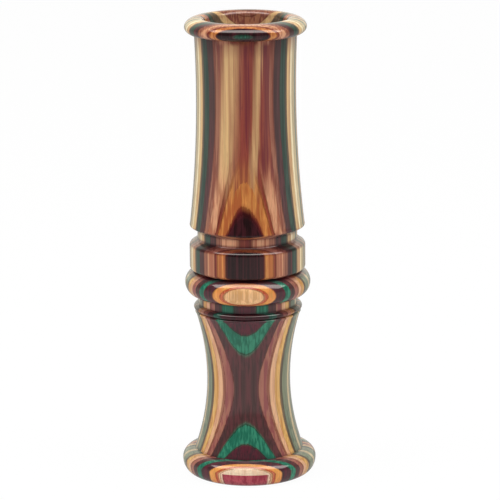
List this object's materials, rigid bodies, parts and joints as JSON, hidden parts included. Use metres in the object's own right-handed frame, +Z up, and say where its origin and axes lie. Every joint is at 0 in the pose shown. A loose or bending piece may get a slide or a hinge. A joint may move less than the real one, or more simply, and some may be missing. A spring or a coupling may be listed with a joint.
{
  "type": "bird call",
  "caption": "Duck call turned from dyed laminated wood: a barrel with rolled lip and lanyard groove on a flared insert that carries the tone board, reeds, wedge and seal rings.",
  "frame": {"origin": "centre of the ring face at the bell end, on which the call stands", "axes": "+Z runs up the call's axis from the bell to the mouthpiece, -Y is the front, where the reeds lie on the sounding face, and +X is to the right seen from the front"},
  "size_m": [0.037, 0.037, 0.1275],
  "materials": {
    "insert_wood": "dyed laminate under high-gloss lacquer",
    "barrel_wood": "dyed laminate under high-gloss lacquer",
    "seal_rubber": "smooth nitrile rubber",
    "board_plastic": "polished moulded plastic",
    "wedge_cork": "cut cork",
    "reed_film": "clear polyester film"
  },
  "bodies": {
    "insert": {"insert": "insert_wood", "tone_board": "board_plastic", "wedge": "wedge_cork"},
    "seals": {"upper_seal_ring": "seal_rubber", "lower_seal_ring": "seal_rubber"},
    "barrel": {"barrel": "barrel_wood"},
    "long_reed": {"long_reed": "reed_film"},
    "short_reed": {"short_reed": "reed_film"}
  },
  "joints": [
    {"name": "barrel_twist", "type": "hinge", "parent": "insert", "child": "seals", "pos_m": [0, 0, 0.0624], "axis": [0, 0, 1], "continuous": true},
    {"name": "barrel_pull", "type": "slide", "parent": "seals", "child": "barrel", "axis": [0, 0, 1], "range_m": [0, 0.064]},
    {"name": "long_reed_beat", "type": "hinge", "parent": "insert", "child": "long_reed", "pos_m": [0, 0.00038, 0.07384], "axis": [1, 0, 0], "range_deg": [-1.4, 1.1], "stiffness_Nm_per_rad": 0.002},
    {"name": "short_reed_beat", "type": "hinge", "parent": "insert", "child": "short_reed", "pos_m": [0, -0.00002, 0.07384], "axis": [1, 0, 0], "range_deg": [-1.4, 1.1], "stiffness_Nm_per_rad": 0.002}
  ],
  "couplings": [
    {"joint": "short_reed_beat", "follows": "long_reed_beat", "ratio": 1}
  ]
}
